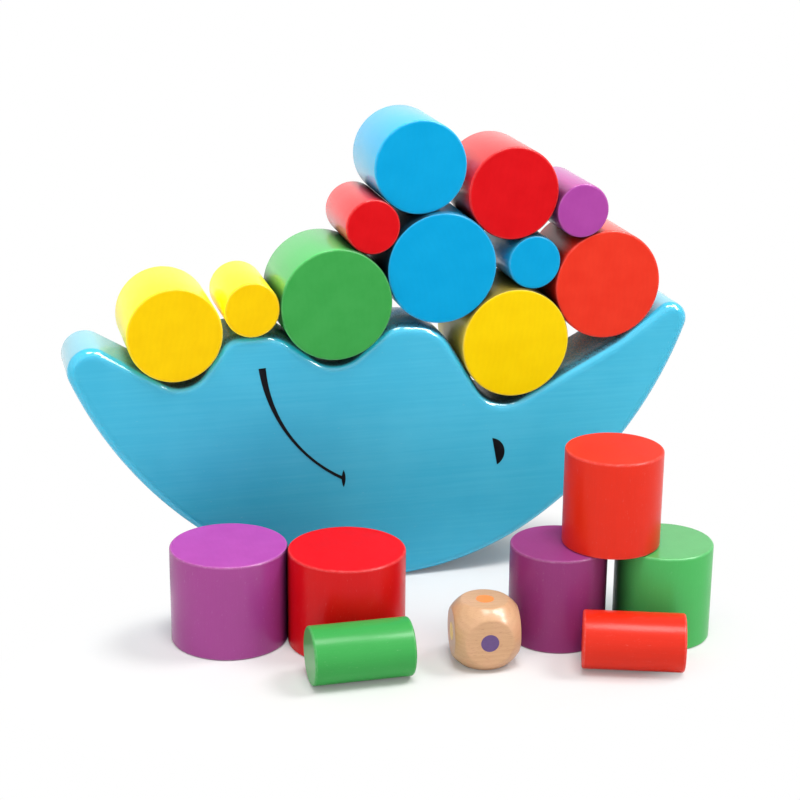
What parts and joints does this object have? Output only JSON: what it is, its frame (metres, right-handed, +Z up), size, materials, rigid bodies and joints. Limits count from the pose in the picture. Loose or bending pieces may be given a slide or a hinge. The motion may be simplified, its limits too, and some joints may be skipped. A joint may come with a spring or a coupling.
{
  "type": "stacking balance game",
  "caption": "Crescent moon rocker in painted wood with round blocks stacked in its hollows, more blocks and a colour die on the table in front",
  "frame": {"origin": "On the table, under the middle of the box round the whole set: z = 0 is the table top that the moon, the standing and lying blocks and the die rest on.", "axes": "+X runs along the moon to the right tip, +Y runs away from the viewer through the thickness of the moon, +Z is up."},
  "size_m": [0.2552, 0.1604, 0.1898],
  "materials": {
    "sky_blue_paint": "satin painted wood, the grain faintly seen",
    "black_print": "matt black print",
    "yellow_paint": "satin painted wood, the grain faintly seen",
    "green_paint": "satin painted wood, the grain faintly seen",
    "blue_paint": "satin painted wood, the grain faintly seen",
    "red_paint": "satin painted wood, the grain faintly seen",
    "purple_paint": "satin painted wood, the grain faintly seen",
    "orange_paint": "satin painted wood, the grain faintly seen",
    "bare_wood": "smooth sanded bare wood"
  },
  "bodies": {
    "root": {"moon_rocker": "sky_blue_paint", "smile_print": "black_print", "eye_print": "black_print", "medium_yellow_block": "yellow_paint", "small_yellow_block": "yellow_paint", "large_yellow_block": "yellow_paint", "large_green_block": "green_paint", "medium_green_block": "green_paint", "small_green_block": "green_paint", "large_blue_block": "blue_paint", "medium_blue_block": "blue_paint", "small_blue_block": "blue_paint", "large_red_block": "red_paint", "medium_red_block": "red_paint", "small_red_block": "red_paint", "large_purple_block": "purple_paint", "medium_purple_block": "purple_paint", "small_purple_block": "purple_paint", "large_orange_block": "orange_paint", "medium_orange_block": "orange_paint", "small_orange_block": "orange_paint", "wooden_die": "bare_wood", "orange_spot": "orange_paint", "purple_spot": "purple_paint", "yellow_spot": "yellow_paint", "red_spot": "red_paint", "blue_spot": "blue_paint", "green_spot": "green_paint"}
  },
  "joints": []
}
